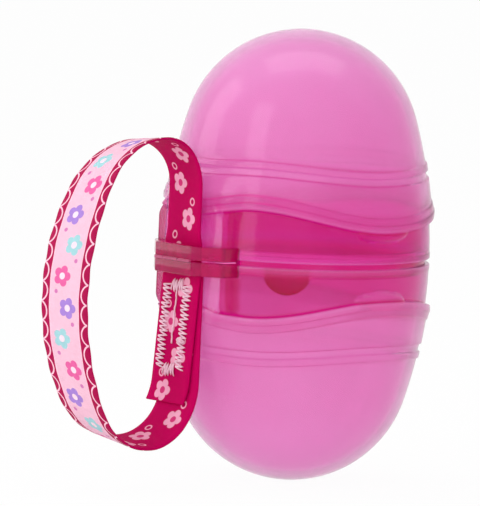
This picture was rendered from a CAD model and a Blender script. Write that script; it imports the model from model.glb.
import math

import bmesh
import bpy
import numpy as np
from mathutils import Matrix, Vector


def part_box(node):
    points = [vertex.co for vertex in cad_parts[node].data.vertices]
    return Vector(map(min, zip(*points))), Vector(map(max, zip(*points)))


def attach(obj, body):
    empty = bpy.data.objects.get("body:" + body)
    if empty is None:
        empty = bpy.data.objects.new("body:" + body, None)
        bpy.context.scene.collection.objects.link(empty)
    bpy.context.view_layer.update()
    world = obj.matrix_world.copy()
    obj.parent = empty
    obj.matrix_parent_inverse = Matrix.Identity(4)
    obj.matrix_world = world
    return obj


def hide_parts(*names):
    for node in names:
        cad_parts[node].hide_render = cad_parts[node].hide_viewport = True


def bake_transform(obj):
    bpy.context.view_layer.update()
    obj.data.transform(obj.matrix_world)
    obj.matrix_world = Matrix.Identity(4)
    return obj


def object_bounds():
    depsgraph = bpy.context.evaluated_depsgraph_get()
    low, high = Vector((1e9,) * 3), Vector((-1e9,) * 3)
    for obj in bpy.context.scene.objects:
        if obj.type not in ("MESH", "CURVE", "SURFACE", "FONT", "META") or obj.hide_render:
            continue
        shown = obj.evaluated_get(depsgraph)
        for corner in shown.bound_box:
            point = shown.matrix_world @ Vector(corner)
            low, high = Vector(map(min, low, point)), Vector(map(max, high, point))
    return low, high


# Egg-shaped pacifier case in translucent pink plastic, with a printed ribbon loop.
# Sizes below are in millimetres and follow the solids; meshes are made in metres.
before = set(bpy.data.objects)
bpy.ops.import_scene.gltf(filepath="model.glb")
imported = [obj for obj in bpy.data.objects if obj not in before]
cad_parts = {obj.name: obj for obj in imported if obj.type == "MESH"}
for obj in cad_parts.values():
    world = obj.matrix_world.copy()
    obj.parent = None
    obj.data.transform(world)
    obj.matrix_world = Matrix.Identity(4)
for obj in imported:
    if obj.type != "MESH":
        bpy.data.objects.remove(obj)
cad_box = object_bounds()
MM = 0.001

# Moulded surface: a crown sphere that runs into a long flank arc
seam_radius = 28.0
half_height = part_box("upper_shell")[1].z / MM
crown_radius = 24.7
wall = 1.7
mouth = 0.55
edge_round = 0.3
rim_top = 1.8
rim_offset = -0.25
waist_offset = -0.35
crown_centre = half_height - crown_radius
flank_radius = ((seam_radius ** 2 + crown_centre ** 2 - crown_radius ** 2)
                / (2 * (seam_radius - crown_radius)))
flank_centre = seam_radius - flank_radius
blend_angle = math.atan(-crown_centre / flank_centre)
flank_run = flank_radius * blend_angle
whole_run = flank_run + crown_radius * (math.pi / 2 - blend_angle)

# Wavy relief: turning points as (angle from the hinge, height), and steps from the waist to the dome
bead_wave = [(0, 10.6), (30, 12.5), (90, 8.5), (180, 12.5)]
ridge_wave = [(0, 20.6), (30, 21.0), (90, 19.5), (180, 21.0)]
bead_width = 3.2
bead_crown = 0.2
bead_rise = 1.0
bead_step = 0.15
shoulder_drop = 0.2
groove_width = 1.5
groove_drop = 0.45
ridge_width = 1.5
ridge_rise = 0.5
ridge_drop = 0.35

# Thumb grips
grip_half_length = 6.5
grip_radius = 2.0
grip_rise = 1.4

# Flat-faced spine on the hinge side, with edges that soften above the bead
spine_face = 28.9
spine_half_width = 11.3
spine_flat_height = 9.0
spine_bow_radius = 15.5
spine_bow_end = math.sin(math.radians(60))
spine_relief = 0.15
spine_proud_from = 0.3
spine_corner = 0.8
spine_soft_corner = 8.0
crease = 0.6
soft_crease = 3.0
soft_from = 8.0
soft_height = 7.0

# Spigot lip and snap tongues inside the upper shell
lip_radius = 26.0
lip_thickness = 1.0
lip_depth = 2.6
lip_lead = 0.4
lip_root = 2.5
lip_gap_angle = 22.5
collar_radius = 26.8
collar_foot = -0.45
tongue_angle = 45.7
tongue_half_width = 5.0
tongue_bulge = 3.5

# Haze of the plastic: 0 where its colour is deep, 1 where it is milky
waist_haze = 0.3
bead_haze = 0.24
band_haze = 0.26
thin_haze = 0.08
crown_haze = 0.16
crown_from = 20.0
crown_run = 36.0
spine_face_haze = 0.45
spine_face_angle = 19.5
spine_flank_angle = 26.0
upper_flank_depth = 0.12
lower_flank_depth = 0.24

# Bridges and hinge film
bridge_inside = 30.7
bridge_face = 33.0
bridge_low = 0.14
bridge_top = 3.05
bridge_half_flat = 5.9
bridge_edge = 0.28
slot_half_width = 6.4
hinge_axis = 33.2
film_inner = 0.1
film_thickness = 0.24
film_half_length = 5.55
film_seat = 0.1

# Ribbon and its route from the hidden end to the visible one
ribbon_width = 12.0
ribbon_thickness = 0.5
selvedge = 0.2
under_layer = 29.45
layer_pitch = 0.6
inner_end = -2.4
loop_reach = 61.0
loop_top = 24.7
loop_bottom = -37.6
loop_top_radius = 10.1
loop_bottom_radius = 12.4
loop_side_lean = 62.0
outer_end_turn = 24.0
loop_twist = math.radians(11.0)
leg_twist = math.radians(-6.0)
leg_drift = 0.5
leg_share = 0.15
leg_twist_from = 2.0
leg_twist_rise = 4.0
twist_share = 0.4
top_bank = math.sin(math.radians(11.2))
bottom_bank = math.sin(math.radians(-10.0))
flap_top = -2.5
flap_slide = 0.1
ripple_height = 0.12
ripple_rate = 0.9
ripple_lag = 2.0

# Sewn rectangle
thread_radius = 0.17
thread_seat = under_layer + layer_pitch + ribbon_thickness / 2
stitch_pitch = 1.0
stitch_swing = 2.6
stitch_slant = 0.15
uneven_run = 0.12
uneven_swing = 0.16
stitch_arch = 0.3
stitch_sunk = 0.05
seam_box_top = -5.6
seam_box_foot = -23.2
seam_box_half_width = 3.1
seam_box_shift = 1.2
knot_height = -16.2
tail_spread = 1.4
tail_length = 1.6


def smooth(t):
    """Smooth step from 0 to 1."""
    t = np.clip(t, 0, 1)
    return t * t * (3 - 2 * t)


def soft_max(a, b, spread):
    """Larger of two reaches, with the crease between them rounded off over a spread."""
    near = np.maximum(spread - np.abs(a - b), 0) / spread
    return np.maximum(a, b) + near * near * spread / 4


def profile(run, offset):
    """Radius and height on the moulded surface at a run from the seam, moved out by an offset."""
    low = run < flank_run
    angle = np.where(low, run / flank_radius, blend_angle + (run - flank_run) / crown_radius)
    radius = np.where(low, flank_radius, crown_radius) + offset
    return (np.where(low, flank_centre, 0) + radius * np.cos(angle),
            np.where(low, 0, crown_centre) + radius * np.sin(angle))


def run_at(height):
    """Run along the flank up to a height."""
    return flank_radius * np.arcsin(height / flank_radius)


def wave(turns, degrees):
    """Height of a wave that swings between its turning points on half cosines."""
    height = np.full_like(degrees, turns[0][1])
    for (start, low), (end, high) in zip(turns, turns[1:]):
        share = np.clip((degrees - start) / (end - start), 0, 1)
        height += (high - low) * (1 - np.cos(np.pi * share)) / 2
    return height


def softening(z):
    """Share by which the spine's edges are softened: none at the waist, full above the bead."""
    return smooth((z - soft_from) / soft_height)


def crease_at(z):
    """Width over which the spine runs into the egg."""
    return crease + soft_crease * softening(z)


def spine_reach(turn, z, half, face, bow_radius):
    """Distance from the egg's axis to the spine's faces in the direction of each column."""
    least_ahead = 0.2
    corner = spine_corner + spine_soft_corner * softening(z)
    rise = np.clip((z - spine_flat_height) / bow_radius, 0, 1)
    front = np.where(rise < spine_bow_end, face - bow_radius * (1 - np.sqrt(1 - rise ** 2)), 0)
    ahead = np.cos(turn)
    beside = np.abs(np.sin(turn))
    to_front = front / np.maximum(ahead, least_ahead)
    to_side = half / np.maximum(beside, 1e-4)
    corner_u = front - corner
    corner_y = half - corner
    miss = corner_u * beside - corner_y * ahead
    round_off = np.sqrt(np.maximum(corner ** 2 - miss ** 2, 0))
    to_corner = corner_u * ahead + corner_y * beside + round_off
    reach = np.where(to_side * ahead <= corner_u, to_side, to_corner)
    reach = np.where(to_front * beside <= corner_y, to_front, reach)
    return np.where((ahead > least_ahead) & (front > 0), reach, 0)


def grip_reach(turn, z):
    """Distance from the egg's axis to the outside of a thumb grip, or 0 beside it."""
    centre_y = seam_radius + waist_offset + grip_rise - grip_radius
    centre_z = wave(bead_wave, np.array([90.0]))[0] - bead_width / 2
    beside = np.abs(np.sin(turn))
    a = (np.cos(turn) / grip_half_length) ** 2 + (beside / grip_radius) ** 2
    b = -2 * beside * centre_y / grip_radius ** 2
    c = (centre_y ** 2 + (z - centre_z) ** 2) / grip_radius ** 2 - 1
    root = b * b - 4 * a * c
    return np.where(root > 0, (np.sqrt(np.maximum(root, 0)) - b) / (2 * a), 0)


def shell_columns():
    """Angles of the mesh columns from the hinge, closer together where the form turns sharply."""
    steps = [(0, 16, 1.0), (16, 26, 0.3), (26, 58, 0.8),
             (58, 74, 1.3), (74, 106, 0.7), (106, 180, 0.6)]
    half = np.concatenate([np.linspace(start, end, round((end - start) / step), endpoint=False)
                           for start, end, step in steps])
    degrees = np.concatenate([half, [180.0], 360 - half[:0:-1]])
    return np.radians(degrees), np.minimum(degrees, 360 - degrees)


def outer_rows(fold):
    """Runs of the outside rows for each column, and the relief that each run carries."""
    bead = wave(bead_wave, fold)
    ridge = wave(ridge_wave, fold)
    # Height of each step, its rise, half its width along the wall, and the rows below it
    steps = [
        (rim_top + 0 * fold, waist_offset - rim_offset, 0.15, 3),
        (bead - bead_width / 2, bead_rise, 0.18, 14),
        (bead, -bead_step, 0.14, 4),
        (bead + bead_width / 2, -shoulder_drop, 0.2, 4),
        (ridge - ridge_width - groove_width, -groove_drop, 0.16, 8),
        (ridge - ridge_width, ridge_rise, 0.16, 3),
        (ridge, -ridge_drop, 0.16, 3),
    ]
    start = run_at(mouth)
    rows = [start + edge_round * share + 0 * fold for share in (0, 0.08, 0.3, 0.6, 1)]
    for height, _, spread, between in steps:
        key = run_at(height)
        low = rows[-1]
        rows += [low + (key - spread - low) * index / between for index in range(1, between)]
        rows += [key + spread * share for share in (-1, -0.5, 0, 0.5, 1)]
    low = rows[-1]
    crown_rows = 34
    rows += [low + (whole_run - low) * index / crown_rows for index in range(1, crown_rows)]
    runs = np.array(rows)
    relief = np.full_like(runs, rim_offset)
    for height, step, spread, _ in steps:
        relief += step * smooth((runs - run_at(height) + spread) / (2 * spread))
    across = (runs - run_at(bead)) / (bead_width / 2)
    relief += bead_crown * np.maximum(1 - across ** 2, 0)
    depth = np.clip(edge_round - (runs - start), 0, edge_round)
    relief -= edge_round - np.sqrt(edge_round ** 2 - depth ** 2)
    return runs, relief


def haze_at(runs, fold, flank_depth):
    """Haze of the moulding: clear at the waist, more on bead and band, most on groove and dome."""
    bead = wave(bead_wave, fold)
    ridge = wave(ridge_wave, fold)
    blend = 0.2

    def past(height):
        return smooth((runs - run_at(height) + blend) / (2 * blend))

    low = past(bead - bead_width / 2)
    middle = past(bead + bead_width / 2)
    thin = past(ridge - ridge_width - groove_width) - past(ridge - ridge_width) + past(ridge)
    crown = smooth((runs - crown_from) / crown_run)
    front = smooth((spine_face_angle - fold) / 0.6)
    flank = smooth((spine_flank_angle - fold) / 3.0) - front
    spine = (spine_face_haze * front - flank_depth * flank) * (1 - low)
    return (waist_haze + bead_haze * low + band_haze * middle + thin_haze * thin
            + crown_haze * crown + spine)


def edge_lines(runs, fold):
    """Change of haze along the relief's edges, where light passes through more plastic."""
    bead = wave(bead_wave, fold)
    ridge = wave(ridge_wave, fold)
    # Height of each line, its half width and its change of haze
    lines = [
        (mouth + 0.2 + 0 * fold, 0.2, 0.3),
        (rim_top + 0 * fold, 0.14, -0.15),
        (bead - bead_width / 2, 0.18, -0.55),
        (bead - bead_width / 2 + 0.5, 0.25, 0.18),
        (bead, 0.14, -0.15),
        (bead + bead_width / 2, 0.16, -0.25),
        (ridge - ridge_width - groove_width, 0.16, -0.25),
        (ridge - ridge_width, 0.14, -0.15),
        (ridge, 0.16, -0.22),
    ]
    return sum(change * np.exp(-((runs - run_at(height)) / width) ** 2)
               for height, width, change in lines)


def cloud_at(runs, fold):
    """Cloudiness of the thicker plastic in the bead and the rim, from 0 to 1."""
    blend = 0.3
    off_bead = np.abs(runs - run_at(wave(bead_wave, fold))) - bead_width / 2
    on_bead = 1 - smooth(off_bead / blend)
    on_rim = 1 - smooth((runs - run_at(rim_top)) / blend)
    return np.maximum(on_bead, on_rim)


def inner_surface(turn, runs):
    """Radius and height of the inner wall, with the pocket behind the spine."""
    radius, z = profile(runs, -wall)
    pocket = spine_reach(turn, z, spine_half_width - wall, spine_face - wall,
                         spine_bow_radius - wall)
    return soft_max(radius, pocket, crease_at(z)), z


def mouth_rows(turn, fold, edge, has_lip):
    """Rows across the mouth, down the collar and lip, and up to the inner wall, with their haze."""
    inner_foot = inner_surface(turn, run_at(np.full_like(turn, mouth)))[0]
    inner_root = inner_surface(turn, run_at(np.full_like(turn, lip_root)))[0]
    level = 0 * edge
    plain = [(edge + (inner_foot - edge) * share, mouth + level)
             for share in np.linspace(0, 1, 7)[1:]]
    plain += [(inner_foot + (inner_root - inner_foot) * share,
               mouth + (lip_root - mouth) * share + level) for share in np.linspace(0, 1, 5)[1:]]
    if not has_lip:
        plain_haze = np.full((len(plain), len(edge)), waist_haze)
        return np.array([r for r, _ in plain]), np.array([z for _, z in plain]), plain_haze
    from_tongue = np.radians(np.abs(fold - tongue_angle)) * lip_radius
    bow = (tongue_half_width ** 2 + tongue_bulge ** 2) / (2 * tongue_bulge)
    drop = np.sqrt(np.maximum(bow ** 2 - from_tongue ** 2, 0)) - (bow - tongue_bulge)
    depth = lip_depth + np.where(from_tongue < tongue_half_width, np.maximum(drop, 0), 0)
    inside = lip_radius - lip_thickness
    lipped = [
        (collar_radius, mouth), (collar_radius, collar_foot), (lip_radius, collar_foot),
        (lip_radius, (collar_foot + lip_lead - depth) / 2), (lip_radius, lip_lead - depth),
        (lip_radius - lip_lead, -depth), (inside, -depth), (inside, (lip_root - depth) / 2),
        (inside, lip_root), (inner_root, lip_root),
    ]
    tip = waist_haze * (1 - smooth(2 * drop / tongue_bulge))
    lip_haze = [0.0, 0.0, 0.1] + [tip] * 4 + [waist_haze] * 3
    there = fold > lip_gap_angle
    radii = np.array([np.where(there, r + level, p) for (r, _), (p, _) in zip(lipped, plain)])
    heights = np.array([np.where(there, z + level, p) for (_, z), (_, p) in zip(lipped, plain)])
    return radii, heights, np.array([np.where(there, value, waist_haze) for value in lip_haze])


def lofted(rows, count):
    """Faces between rows of points that each run once round."""
    return [(row * count + index, row * count + (index + 1) % count,
             (row + 1) * count + (index + 1) % count, (row + 1) * count + index)
            for row in range(rows - 1) for index in range(count)]


def lofted_closed(rows, count):
    """Faces between rows of points, with a face on each end."""
    last = (rows - 1) * count
    return lofted(rows, count) + [tuple(range(count)), tuple(range(last, last + count))]


def shell(name, side, has_lip, materials):
    """One half of the case as a closed mesh, with the lip's faces in the second material."""
    turn, fold = shell_columns()
    runs, relief = outer_rows(fold)
    radius, z = profile(runs, relief)
    sunk = np.clip(relief / -waist_offset, -1, 0)
    proud = np.clip((relief - spine_proud_from) / -waist_offset, 0, 1)
    face = spine_face + spine_relief * (sunk + proud)
    half_width = spine_half_width + np.minimum(relief, spine_relief)
    block = spine_reach(turn, z, half_width, face, spine_bow_radius)
    radius = soft_max(radius, block, crease_at(z))
    radius = soft_max(radius, grip_reach(turn, z), crease)
    z[0] = mouth
    foot_r, foot_z, foot_haze = mouth_rows(turn, fold, radius[0], has_lip)
    inner_count = 40
    first = run_at(lip_root)
    inner_runs = np.array([first + (whole_run - first) * (index / inner_count) + 0 * turn
                           for index in range(1, inner_count)])
    inner_r, inner_z = inner_surface(turn, inner_runs)
    radii = np.concatenate([radius[::-1], foot_r, inner_r])
    heights = np.concatenate([z[::-1], foot_z, inner_z])
    grid = np.stack([-radii * np.cos(turn), -radii * np.sin(turn), side * heights], axis=-1)
    apex = np.array([[0, 0, side * half_height], [0, 0, side * (half_height - wall)]])
    points = np.concatenate([grid.reshape(-1, 3), apex])
    rows, count = radii.shape
    last = (rows - 1) * count
    top = rows * count
    faces = lofted(rows, count)
    faces += [(top, (column + 1) % count, column) for column in range(count)]
    faces += [(top + 1, last + column, last + (column + 1) % count) for column in range(count)]
    piece = make_piece(name, points, faces, materials, sharp=40)
    flank_depth = upper_flank_depth if has_lip else lower_flank_depth
    outer_haze = haze_at(runs, fold, flank_depth) + edge_lines(runs, fold)
    haze = np.concatenate([outer_haze[::-1], foot_haze, haze_at(inner_runs, fold, flank_depth)])
    cloud = np.concatenate([cloud_at(runs, fold)[::-1], 0 * foot_r, 0 * inner_r])
    for look, grid_values, apex_value in (("haze", haze, 1), ("cloud", cloud, 0)):
        values = np.concatenate([grid_values.ravel(), [apex_value, apex_value]])
        attribute = piece.data.attributes.new(look, "FLOAT", "POINT")
        attribute.data.foreach_set("value", values.astype(np.float32))
    if has_lip:
        for row in range(len(radius), len(radius) + len(foot_r) - 1):
            for column in np.flatnonzero(fold > lip_gap_angle):
                piece.data.polygons[row * count + column].material_index = 1
    return piece


def make_piece(name, points, faces, materials, sharp=None):
    """Mesh object from points in millimetres, shaded smooth, with its faces turned outwards."""
    mesh = bpy.data.meshes.new(name)
    mesh.from_pydata((np.asarray(points) * MM).tolist(), [], faces)
    build = bmesh.new()
    build.from_mesh(mesh)
    bmesh.ops.recalc_face_normals(build, faces=build.faces)
    build.to_mesh(mesh)
    build.free()
    mesh.polygons.foreach_set("use_smooth", [True] * len(mesh.polygons))
    if sharp is not None:
        mesh.set_sharp_from_angle(angle=math.radians(sharp))
    for material in materials:
        mesh.materials.append(material)
    piece = bpy.data.objects.new(name, mesh)
    bpy.context.scene.collection.objects.link(piece)
    return piece


def bevelled_prism(name, outline, low, high, bevel, material):
    """Upright prism over an outline of (u, y) corners, with rounded edges."""
    count = len(outline)
    points = [(-u, y, z) for z in (low, high) for u, y in outline]
    faces = [tuple(range(count)), tuple(range(count, 2 * count))] + lofted(2, count)
    piece = make_piece(name, points, faces, [material])
    mesh = piece.data
    build = bmesh.new()
    build.from_mesh(mesh)
    bmesh.ops.bevel(build, geom=build.edges, offset=bevel * MM, segments=3, profile=0.5,
                    affect="EDGES")
    bmesh.ops.recalc_face_normals(build, faces=build.faces)
    build.to_mesh(mesh)
    build.free()
    mesh.polygons.foreach_set("use_smooth", [True] * len(mesh.polygons))
    mesh.set_sharp_from_angle(angle=math.radians(30))
    return piece


def bridge(name, side, material):
    """Bow over the ribbon, with strips that run back along the spine's sides into the dome."""
    root = spine_face - wall / 2
    half = spine_half_width
    strip = half - wall / 2
    strip_end = math.sqrt((seam_radius - wall / 2) ** 2 - half ** 2)
    outline = [(strip_end, half), (spine_face, half), (bridge_face, bridge_half_flat),
               (bridge_face, -bridge_half_flat), (spine_face, -half), (strip_end, -half),
               (strip_end, -strip), (root, -strip), (root, -slot_half_width),
               (bridge_inside, -slot_half_width), (bridge_inside, slot_half_width),
               (root, slot_half_width), (root, strip), (strip_end, strip)]
    low, high = sorted((side * bridge_low, side * bridge_top))
    return bevelled_prism(name, outline, low, high, bridge_edge, material)


def hinge_film(material):
    """Thin web folded outwards between the two bridges."""
    outer = film_inner + film_thickness
    root = bridge_face - film_seat
    fold = np.linspace(-math.pi / 2, math.pi / 2, 13)
    ring = [(root, -outer)]
    ring += [(hinge_axis + outer * math.cos(a), outer * math.sin(a)) for a in fold]
    ring += [(root, outer), (root, film_inner)]
    ring += [(hinge_axis + film_inner * math.cos(a), film_inner * math.sin(a)) for a in fold[::-1]]
    ring += [(root, -film_inner)]
    stations = np.linspace(-film_half_length, film_half_length, 9)
    points = [(-u, y, z) for y in stations for u, z in ring]
    faces = lofted_closed(len(stations), len(ring))
    return make_piece("hinge_web", points, faces, [material], sharp=40)


def loop_route():
    """Ribbon route as (length or radius, turn in degrees), fitted to the loop's reach and height."""
    lean = math.radians(loop_side_lean)
    across = math.sin(lean)
    bulge = 1 - across
    rise = 1 - math.cos(lean)
    reach = loop_reach - under_layer
    spread = 2 * reach - layer_pitch - loop_bottom_radius - loop_top_radius
    side_radius = ((loop_top - loop_bottom - rise / across * spread)
                   / (2 * math.cos(lean) - 2 * bulge * rise / across))
    low_radius = (reach - loop_bottom_radius - bulge * side_radius) / across
    high_radius = (reach - layer_pitch - loop_top_radius - bulge * side_radius) / across
    leg_foot = loop_bottom + loop_bottom_radius
    return [
        (inner_end - leg_foot, 0),
        (loop_bottom_radius, 90),
        (low_radius, loop_side_lean),
        (side_radius, 180 - 2 * loop_side_lean),
        (high_radius, loop_side_lean),
        (loop_top_radius, 90),
        (loop_top - loop_top_radius - leg_foot, 0),
        (loop_bottom_radius - layer_pitch, outer_end_turn),
    ]


def route_stations(spacing):
    """Stations along the ribbon as (run, u, z, heading), and the run at the end of each stretch."""
    run, u, z, heading = 0.0, under_layer, inner_end, -math.pi / 2
    stations = [(run, u, z, heading)]
    ends = []
    for size, turn in loop_route():
        sweep = math.radians(turn)
        length = size * sweep if turn else size
        count = max(2, math.ceil(length / spacing))
        for index in range(1, count + 1):
            share = index / count
            if turn:
                angle = heading + sweep * share
                place = (u + size * (math.sin(angle) - math.sin(heading)),
                         z - size * (math.cos(angle) - math.cos(heading)))
            else:
                angle = heading
                place = (u + length * share * math.cos(heading),
                         z + length * share * math.sin(heading))
            stations.append((run + length * share, *place, angle))
        run, u, z, heading = stations[-1]
        ends.append(run)
    return stations, ends


def slide(z):
    """Sideways drift of the free flap, which is sewn on a little askew below the bridges."""
    return flap_slide * max(flap_top - z, 0)


def ribbon_strip(name, stations, free_start, free_end, materials):
    """Stretch of ribbon as a thin closed strip, inside face first, with its print coordinates."""
    half = ribbon_width / 2
    thin = ribbon_thickness / 2
    face = [(v, thin) for v in np.linspace(-half + selvedge, half - selvedge, 13)]
    ring = [(-half, 0.5 * thin)] + face + [(half, 0.5 * thin), (half, -0.5 * thin)]
    ring += [(v, -h) for v, h in face[::-1]] + [(-half, -0.5 * thin)]
    count = len(ring)
    points = []
    print_at = []
    for run, u, z, heading in stations:
        share = np.clip((run - free_start) / (free_end - free_start), 0, 1)
        from_end = min(share, 1 - share)
        free = math.sin(math.pi * share) ** 2
        twist = loop_twist * smooth(from_end / twist_share)
        on_leg = smooth((share - (1 - leg_share)) / leg_share)
        twist += leg_twist * on_leg * smooth((z - leg_twist_from) / leg_twist_rise)
        bank = (top_bank if share > 0.5 else bottom_bank) * math.sin(2 * math.pi * share) ** 2
        drift = leg_drift * (1 - smooth(from_end / leg_share))
        if run > free_end:
            drift += slide(z)
        for v, h in ring:
            lag = ripple_lag if v > 0 else 0.0
            lift = h + ripple_height * free * (v / half) ** 2 * math.sin(run * ripple_rate + lag)
            points.append((-(u - lift * math.sin(heading)) - v * math.sin(twist),
                           v * math.cos(twist) + drift,
                           z + lift * math.cos(heading) - v * bank))
            print_at.append((v, run))
    piece = make_piece(name, points, lofted_closed(len(stations), count), materials, sharp=50)
    mesh = piece.data
    print_map = mesh.uv_layers.new(name="print")
    for loop in mesh.loops:
        v, run = print_at[loop.vertex_index]
        print_map.data[loop.index].uv = (v / ribbon_width + 0.5, run / ribbon_width)
    inside_edges = len(face) + 2
    for index, polygon in enumerate(mesh.polygons):
        place = index % count
        polygon.material_index = 0 if place < inside_edges or place == count - 1 else 1
    return piece


def tube(path, radius, sides):
    """Points and faces of a thread along a path that lies close to the ribbon's face."""
    points = []
    for index, place in enumerate(path):
        ahead = np.subtract(path[min(index + 1, len(path) - 1)], path[max(index - 1, 0)])
        ahead = ahead / np.linalg.norm(ahead)
        beside = np.cross(ahead, (1, 0, 0))
        beside = beside / np.linalg.norm(beside)
        above = np.cross(beside, ahead)
        for side in range(sides):
            angle = 2 * math.pi * side / sides
            outward = math.cos(angle) * beside + math.sin(angle) * above
            points.append(np.add(place, radius * outward))
    return points, lofted_closed(len(path), sides)


def stitch_row(start, end):
    """Path of one uneven zigzag row: straight and slanted strokes by turns, arched between holes."""
    length = math.hypot(end[0] - start[0], end[1] - start[1])
    along = ((end[0] - start[0]) / length, (end[1] - start[1]) / length)
    count = round(length / stitch_pitch)
    holes = []
    for index in range(2 * count + 1):
        odd = index % 2
        run = length / count * (index // 2 + stitch_slant * odd + uneven_run * math.sin(index * 1.7))
        sway = stitch_swing / 2 * (1 if odd else -1) * (1 + uneven_swing * math.sin(index * 2.3))
        holes.append((start[0] + along[0] * run - along[1] * sway,
                      start[1] + along[1] * run + along[0] * sway))
    path = []
    for (y0, z0), (y1, z1) in zip(holes, holes[1:]):
        for share in (0, 0.15, 0.35, 0.65, 0.85):
            rise = stitch_arch * math.sin(math.pi * share) ** 0.5 if share else -stitch_sunk
            path.append((-(thread_seat + rise), y0 + (y1 - y0) * share, z0 + (z1 - z0) * share))
    path.append((-(thread_seat - stitch_sunk), *holes[-1]))
    return path


def centre_row():
    """Path of the loose thread down the middle of the sewn rectangle."""
    step = 0.35
    return [(-(thread_seat + 0.12 * abs(math.sin(index * 0.8))), 0.1 * math.sin(index * 0.5),
             seam_box_top - step * index) for index in range(36)]


def knot_tail(lean):
    """Path of one thread end that fans out from the knot."""
    foot = thread_seat + 0.2
    return [(-(foot + 0.5 * math.sin(math.pi * share)),
             -seam_box_half_width + tail_spread * share * math.sin(lean),
             knot_height - tail_length * share * math.cos(lean)) for share in np.linspace(0, 1, 7)]


def stitching(material):
    """Zigzag rows round the rectangle that closes the loop, a centre row and the thread's knot."""
    half = seam_box_half_width
    reach = half - stitch_swing / 2
    paths = [stitch_row((side * half, seam_box_top), (side * half, seam_box_foot)) for side in (-1, 1)]
    paths += [stitch_row((-reach, z), (reach, z)) for z in (seam_box_top, seam_box_foot)]
    paths.append(centre_row())
    paths += [knot_tail(0.5 * tail - 1.0) for tail in range(5)]
    points = []
    faces = []
    for path in paths:
        path = [(x, y + seam_box_shift + slide(z), z) for x, y, z in path]
        row_points, row_faces = tube(path, thread_radius, 8)
        faces += [tuple(len(points) + index for index in face) for face in row_faces]
        points += row_points
    return make_piece("sewing", points, faces, [material])


class Shader:
    """Material with a principled surface and short ways to add its nodes."""

    def __init__(self, name, **settings):
        self.material = bpy.data.materials.new(name)
        self.material.use_nodes = True
        self.tree = self.material.node_tree
        self.surface = self.tree.nodes["Principled BSDF"]
        for socket, value in settings.items():
            self.surface.inputs[socket.replace("_", " ")].default_value = value

    def add(self, kind, inputs=None, **settings):
        node = self.tree.nodes.new("ShaderNode" + kind)
        for key, value in settings.items():
            setattr(node, key, value)
        for key, value in (inputs or {}).items():
            self.feed(value, node.inputs[key])
        return node

    def feed(self, value, socket):
        if isinstance(value, bpy.types.NodeSocket):
            self.tree.links.new(value, socket)
        else:
            socket.default_value = value

    def math(self, operation, *values):
        inputs = dict(enumerate(values))
        return self.add("Math", inputs, operation=operation).outputs[0]

    def squares(self, x, y):
        """Sum of the squares of two values."""
        return self.math("ADD", self.math("MULTIPLY", x, x), self.math("MULTIPLY", y, y))

    def far(self, x, y):
        """Distance from a local origin."""
        return self.math("SQRT", self.squares(x, y))

    def from_line(self, value, line):
        """Distance to either side of a line."""
        return self.math("ABSOLUTE", self.math("SUBTRACT", value, line))

    def repeated(self, value, pitch):
        """Value that starts again at each pitch and is 0 in the middle of it."""
        part = self.math("FRACT", self.math("DIVIDE", value, pitch))
        return self.math("MULTIPLY", self.math("SUBTRACT", part, 0.5), pitch)

    def mix(self, share, a, b):
        inputs = {"Factor": share, 6: a, 7: b}
        return self.add("Mix", inputs, data_type="RGBA").outputs[2]

    def ranged(self, value, low, high, start=0.0, end=1.0):
        """Value that goes from low to high while another goes from start to end."""
        inputs = {"Value": value, "From Min": start, "From Max": end, "To Min": low, "To Max": high}
        return self.add("MapRange", inputs).outputs[0]

    def below(self, value, limit, blur=0.06):
        """1 where a value is under a limit, with a soft edge."""
        return self.ranged(value, 0.0, 1.0, limit + blur, limit - blur)

    def noise(self, scale, detail=2.0):
        place = self.add("TexCoord").outputs["Object"]
        inputs = {"Vector": place, "Scale": scale, "Detail": detail}
        return self.add("TexNoise", inputs).outputs["Fac"]

    def bump(self, height, strength, distance):
        inputs = {"Height": height, "Strength": strength, "Distance": distance}
        return self.add("Bump", inputs).outputs["Normal"]

    def finish(self, colour, roughness, normal):
        for socket, value in (("Base Color", colour), ("Roughness", roughness), ("Normal", normal)):
            self.feed(value, self.surface.inputs[socket])
        return self.material


def linear(red, green, blue):
    """Linear colour with alpha from 8-bit display values."""
    return tuple((c / 255 / 12.92 if c < 10.3 else ((c / 255 + 0.055) / 1.055) ** 2.4)
                 for c in (red, green, blue)) + (1.0,)


def shell_plastic(name, deep, clear, hazy):
    """Translucent moulded polypropylene: deep at the lip, clear at the waist, hazy on the domes."""
    shader = Shader(name, IOR=1.2, Coat_Weight=0.2, Coat_Roughness=0.06)
    haze = shader.add("Attribute", attribute_name="haze").outputs["Fac"]
    cloud = shader.add("Attribute", attribute_name="cloud").outputs["Fac"]
    drift = shader.noise(90.0)
    share = shader.math("ADD", haze, shader.ranged(drift, -0.05, 0.05))
    body = shader.mix(shader.ranged(share, 0.0, 1.0, 0.0, waist_haze), deep, clear)
    colour = shader.mix(shader.ranged(share, 0.0, 1.0, waist_haze, 1.0), body, hazy)
    clearness = shader.math("MULTIPLY", shader.ranged(share, 1.0, 0.8, waist_haze, 1.0),
                            shader.ranged(cloud, 1.0, 0.82))
    shader.feed(clearness, shader.surface.inputs["Transmission Weight"])
    grain = shader.noise(2600.0, 3.0)
    return shader.finish(colour, shader.ranged(drift, 0.17, 0.23), shader.bump(grain, 0.02, 0.0002))


def bridge_plastic():
    """Thick solid plastic of the bridges, deeper in colour and a little cloudy."""
    shader = Shader("bridge_plastic", IOR=1.2, Transmission_Weight=0.7,
                    Coat_Weight=0.3, Coat_Roughness=0.04)
    cloud = shader.noise(260.0, 3.0)
    colour = shader.mix(cloud, linear(214, 2, 112), linear(224, 14, 132))
    return shader.finish(colour, shader.ranged(cloud, 0.08, 0.2), shader.bump(cloud, 0.05, 0.0003))


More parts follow.
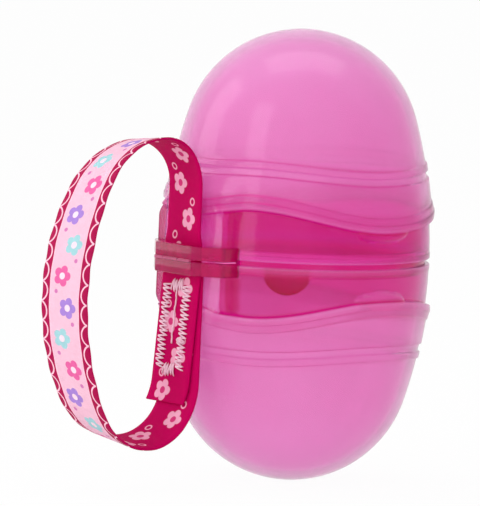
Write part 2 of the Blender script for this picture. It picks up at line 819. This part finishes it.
def film_plastic():
    """Thin web of the same plastic, whitened a little along its fold."""
    shader = Shader("film_plastic", IOR=1.3, Transmission_Weight=0.7)
    stress = shader.noise(1500.0, 3.0)
    colour = shader.mix(stress, linear(232, 96, 160), linear(244, 150, 196))
    return shader.finish(colour, shader.ranged(stress, 0.2, 0.4), shader.bump(stress, 0.1, 0.0001))


def flower(shader, x, y, size):
    """Masks of a flower with five round petals and of its heart, about a local origin."""
    petal_place = 0.6 * size
    petal_radius = 0.4 * size
    heart_radius = 0.32 * size
    far = shader.far(x, y)
    full_turn = shader.math("ADD", shader.math("ARCTAN2", y, x), math.pi)
    angle = shader.math("PINGPONG", full_turn, math.pi / 5)
    ahead = shader.math("MULTIPLY", far, shader.math("COSINE", angle))
    aside = shader.math("MULTIPLY", far, shader.math("SINE", angle))
    from_petal = shader.far(shader.math("SUBTRACT", ahead, petal_place), aside)
    return shader.below(from_petal, petal_radius), shader.below(far, heart_radius)


def print_place(shader):
    """Across and along coordinates of the print, in millimetres."""
    place = shader.add("UVMap", uv_map="print").outputs[0]
    split = shader.add("SeparateXYZ", {0: place})
    across = shader.math("MULTIPLY_ADD", split.outputs[0], ribbon_width, -ribbon_width / 2)
    along = shader.math("MULTIPLY", split.outputs[1], ribbon_width)
    return across, along


def woven(shader, across, along, colour):
    """Adds the ribbon's fine ribs, a slight shade variation and its soft roughness."""
    rib_pitch = 0.42
    yarn_pitch = 0.36
    ribs = shader.math("SINE", shader.math("MULTIPLY", along, 2 * math.pi / rib_pitch))
    yarns = shader.math("SINE", shader.math("MULTIPLY", across, 2 * math.pi / yarn_pitch))
    weave = shader.math("MULTIPLY", ribs, yarns)
    fibre = shader.noise(900.0, 3.0)
    shade = shader.add("HueSaturation", {"Value": shader.ranged(fibre, 0.9, 1.06), "Color": colour})
    return shader.finish(shade.outputs[0], shader.ranged(fibre, 0.5, 0.66),
                         shader.bump(weave, 0.35, 0.00006))


def staggered(shader, across, along, pitch, sway, shift):
    """Local coordinates of motifs that change sides along the ribbon, and each motif's count."""
    moved = shader.math("ADD", along, shift)
    index = shader.math("FLOOR", shader.math("DIVIDE", moved, pitch))
    centre = shader.math("MULTIPLY_ADD", shader.math("PINGPONG", index, 1.0), 2 * sway, -sway)
    return shader.math("SUBTRACT", across, centre), shader.repeated(moved, pitch), index


def ribbon_outside():
    """Pale printed face with scalloped borders, flowers in three colours and dots."""
    shader = Shader("ribbon_outside", Specular_IOR_Level=0.08)
    across, along = print_place(shader)
    ground = linear(236, 186, 206)
    crimson = linear(168, 14, 74)
    line = linear(250, 196, 214)
    rose, lilac, aqua = linear(225, 98, 158), linear(164, 128, 206), linear(158, 204, 210)
    flower_pitch = 6.4
    flower_size = 2.2
    x, y, index = staggered(shader, across, along, flower_pitch, 0.9, 0.0)
    petals, heart = flower(shader, x, y, flower_size)
    third = shader.math("MULTIPLY", shader.math("FLOORED_MODULO", index, 3.0), 0.5)
    petal = shader.mix(shader.below(third, 0.25), rose, lilac)
    petal = shader.mix(shader.below(third, 0.75), aqua, petal)
    colour = shader.mix(petals, ground, petal)
    colour = shader.mix(heart, colour, linear(246, 214, 226))
    x, y, _ = staggered(shader, across, along, flower_pitch, 2.2, flower_pitch / 2)
    dot = shader.below(shader.squares(x, y), 0.2)
    colour = shader.mix(dot, colour, linear(206, 120, 176))
    border = 2.15
    edge = shader.math("SUBTRACT", ribbon_width / 2, shader.math("ABSOLUTE", across))
    colour = shader.mix(shader.below(edge, border), colour, crimson)
    colour = shader.mix(shader.below(shader.from_line(edge, border), 0.1), colour, line)
    scallop_pitch = 4.05
    scallop_depth = 1.45
    bow = (scallop_pitch ** 2 / 4 + scallop_depth ** 2) / (2 * scallop_depth)
    rise = shader.math("ADD", edge, bow - scallop_depth)
    reach = shader.far(shader.repeated(along, scallop_pitch), rise)
    colour = shader.mix(shader.below(shader.from_line(reach, bow), 0.16), colour, line)
    return woven(shader, across, along, colour)


def ribbon_inside():
    """Hot pink face with pale flowers and rings."""
    shader = Shader("ribbon_inside", Specular_IOR_Level=0.02)
    across, along = print_place(shader)
    ground = linear(192, 0, 88)
    pale = linear(244, 172, 200)
    flower_pitch = 7.2
    flower_size = 2.4
    ring_radius = 0.7
    x, y, _ = staggered(shader, across, along, flower_pitch, 1.7, 1.0)
    petals, heart = flower(shader, x, y, flower_size)
    colour = shader.mix(petals, ground, pale)
    colour = shader.mix(heart, colour, linear(214, 60, 124))
    x, y, _ = staggered(shader, across, along, flower_pitch, 2.9, 1.0 + flower_pitch / 2)
    ring = shader.from_line(shader.far(x, y), ring_radius)
    colour = shader.mix(shader.below(ring, 0.17), colour, pale)
    return woven(shader, across, along, colour)


def thread():
    """Pale twisted polyester sewing thread."""
    shader = Shader("thread", Sheen_Weight=0.2)
    twist = shader.noise(2400.0, 3.0)
    colour = shader.mix(twist, linear(236, 180, 204), linear(250, 222, 234))
    return shader.finish(colour, shader.ranged(twist, 0.45, 0.6), shader.bump(twist, 0.4, 0.0001))


def seen_directly(tree):
    """1 for what is seen straight, mirrored or through plastic, 0 for what only lights the object."""
    path = tree.nodes.new("ShaderNodeLightPath")
    seen = path.outputs["Is Camera Ray"]
    for ray in ("Is Glossy Ray", "Is Transmission Ray"):
        either = tree.nodes.new("ShaderNodeMath")
        either.operation = "MAXIMUM"
        tree.links.new(seen, either.inputs[0])
        tree.links.new(path.outputs[ray], either.inputs[1])
        seen = either.outputs[0]
    return seen


def add_world():
    """White surroundings, dimmer where they only light the object, most of all on its right."""
    light_from_left = 0.85
    light_from_right = 0.45
    world = bpy.data.worlds.new("studio")
    bpy.context.scene.world = world
    world.use_nodes = True
    nodes = world.node_tree.nodes
    links = world.node_tree.links
    split = nodes.new("ShaderNodeSeparateXYZ")
    links.new(nodes.new("ShaderNodeTexCoord").outputs["Generated"], split.inputs[0])
    side = nodes.new("ShaderNodeMapRange")
    limits = {"From Min": -1.0, "From Max": 1.0, "To Min": light_from_left, "To Max": light_from_right}
    for socket, value in limits.items():
        side.inputs[socket].default_value = value
    links.new(split.outputs["X"], side.inputs["Value"])
    level = nodes.new("ShaderNodeMapRange")
    links.new(side.outputs[0], level.inputs["To Min"])
    links.new(seen_directly(world.node_tree), level.inputs["Value"])
    back = nodes["Background"]
    back.inputs["Color"].default_value = (1.0, 1.0, 1.0, 1.0)
    links.new(level.outputs[0], back.inputs["Strength"])


def add_floor():
    """Pale floor that the egg stands on, white to the eye apart from a faint shadow."""
    size = 2000.0
    whiteness = 0.96
    low = cad_box[0].z / MM
    points = [(-size, -size, low), (size, -size, low), (size, size, low), (-size, size, low)]
    shader = Shader("floor", Base_Color=(0.9, 0.9, 0.9, 1.0), Roughness=0.9)
    glow = shader.add("Emission", {"Color": (1.0, 1.0, 1.0, 1.0), "Strength": 1.0})
    share = shader.math("MULTIPLY", seen_directly(shader.tree), whiteness)
    mixed = shader.add("MixShader", {0: share, 1: shader.surface.outputs[0], 2: glow.outputs[0]})
    shader.feed(mixed.outputs[0], shader.tree.nodes["Material Output"].inputs["Surface"])
    floor = make_piece("floor", points, [(0, 1, 2, 3)], [shader.material])


def direction(azimuth, elevation):
    """Unit vector from the egg towards a viewer at an azimuth and elevation in degrees."""
    a, e = math.radians(azimuth), math.radians(elevation)
    return Vector((math.sin(a) * math.cos(e), -math.cos(a) * math.cos(e), math.sin(e)))


def add_lamp(name, azimuth, elevation, distance, width, height, power, mirrored=True):
    """Soft rectangular lamp that faces the egg; its azimuth is measured as the camera's is."""
    data = bpy.data.lights.new(name, "AREA")
    data.shape = "RECTANGLE"
    data.size = width
    data.size_y = height
    data.energy = power
    lamp = bpy.data.objects.new(name, data)
    back = direction(azimuth, elevation)
    lamp.location = back * distance
    lamp.rotation_euler = back.to_track_quat("Z", "Y").to_euler()
    lamp.visible_glossy = mirrored
    bpy.context.scene.collection.objects.link(lamp)


def add_lamps():
    """Two windows on the hinge side, a soft light above and a fill that isn't mirrored."""
    add_lamp("window_left", azimuth=-85.0, elevation=10.0, distance=0.6,
             width=0.19, height=0.8, power=1.2)
    add_lamp("window_behind_left", azimuth=-140.0, elevation=20.0, distance=0.4,
             width=0.16, height=0.4, power=0.4)
    add_lamp("overhead", azimuth=-40.0, elevation=97.0, distance=0.7,
             width=0.65, height=0.32, power=1.2)
    add_lamp("front_fill", azimuth=-55.0, elevation=5.0, distance=0.9,
             width=0.9, height=0.6, power=2.2, mirrored=False)


def add_camera():
    """Camera at the photograph's angle: the egg's middle sits right of the frame's middle."""
    azimuth = -40.0
    elevation = 5.3
    roll = math.radians(2.5)
    distance = 1.5
    frame_height = 105.2 * MM
    egg_right_of_middle = 11.7 * MM
    egg_above_middle = 0.2 * MM
    back = direction(azimuth, elevation)
    right = Vector((math.cos(math.radians(azimuth)), math.sin(math.radians(azimuth)), 0))
    up = back.cross(right)
    data = bpy.data.cameras.new("camera")
    data.lens = data.sensor_width * distance / frame_height
    camera = bpy.data.objects.new("camera", data)
    tilted_right = right * math.cos(roll) + up * math.sin(roll)
    tilted_up = up * math.cos(roll) - right * math.sin(roll)
    place = back * distance - right * egg_right_of_middle - up * egg_above_middle
    turn = Matrix((tilted_right, tilted_up, back)).transposed().to_4x4()
    camera.matrix_world = Matrix.Translation(place) @ turn
    bpy.context.scene.collection.objects.link(camera)
    bpy.context.scene.camera = camera


def add_shells():
    """Both halves with their bridges, and the film that hinges them."""
    hazy = linear(250, 187, 232)
    deep = linear(212, 2, 116)
    pale = linear(250, 190, 232)
    clear = {"upper": linear(226, 66, 174), "lower": linear(230, 116, 186)}
    lip = shell_plastic("lip_plastic", deep, pale, pale)
    solid = bridge_plastic()
    for half, side in (("upper", 1), ("lower", -1)):
        body = half + "_half"
        material = shell_plastic(half + "_plastic", deep, clear[half], hazy)
        moulding = shell(half + "_moulding", side, half == "upper", [material, lip])
        bow = bridge(half + "_bridge", side, solid)
        for piece in (moulding, bow):
            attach(piece, body)
        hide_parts(half + "_shell")
    web = hinge_film(film_plastic())
    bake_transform(web)
    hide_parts("hinge_film")


def add_ribbon():
    """Ribbon in three stretches that bend with the lid, and the sewing on it."""
    stations, ends = route_stations(0.8)
    free_start, free_end = ends[0], ends[5]
    far = (ends[2] + ends[3]) / 2
    middle = min(range(len(stations)), key=lambda index: abs(stations[index][0] - far))
    top = next(index for index, station in enumerate(stations) if station[0] >= free_end - 1e-6)
    materials = [ribbon_inside(), ribbon_outside()]
    stretches = {
        "ribbon_lower": stations[:middle + 1],
        "ribbon_upper": stations[middle:top + 1],
        "ribbon_leg": stations[top:],
    }
    pieces = {name: ribbon_strip(name, part, free_start, free_end, materials)
              for name, part in stretches.items()}
    # Bends run from the loop's far side towards the legs, and across the hinge for the leg itself
    leg_u = 31.0
    leg_height = 10.0
    far_side = Vector((-stations[middle][1], 0, stations[middle][2]))
    aside = math.tan(loop_twist)
    low_reach = far_side - Vector((-leg_u, 0, -leg_height))
    high_reach = Vector((-leg_u, 0, leg_height)) - far_side
    low_reach.y = low_reach.x * aside
    high_reach.y = high_reach.x * aside
    sewing = stitching(thread())
    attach(sewing, "lower_half")
    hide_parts("strap_stitching")
    for name, piece in pieces.items():
        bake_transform(piece)
        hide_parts("strap_ribbon")


bpy.context.scene.view_settings.view_transform = "Standard"
add_camera()
add_world()
add_floor()
add_lamps()
add_shells()
add_ribbon()
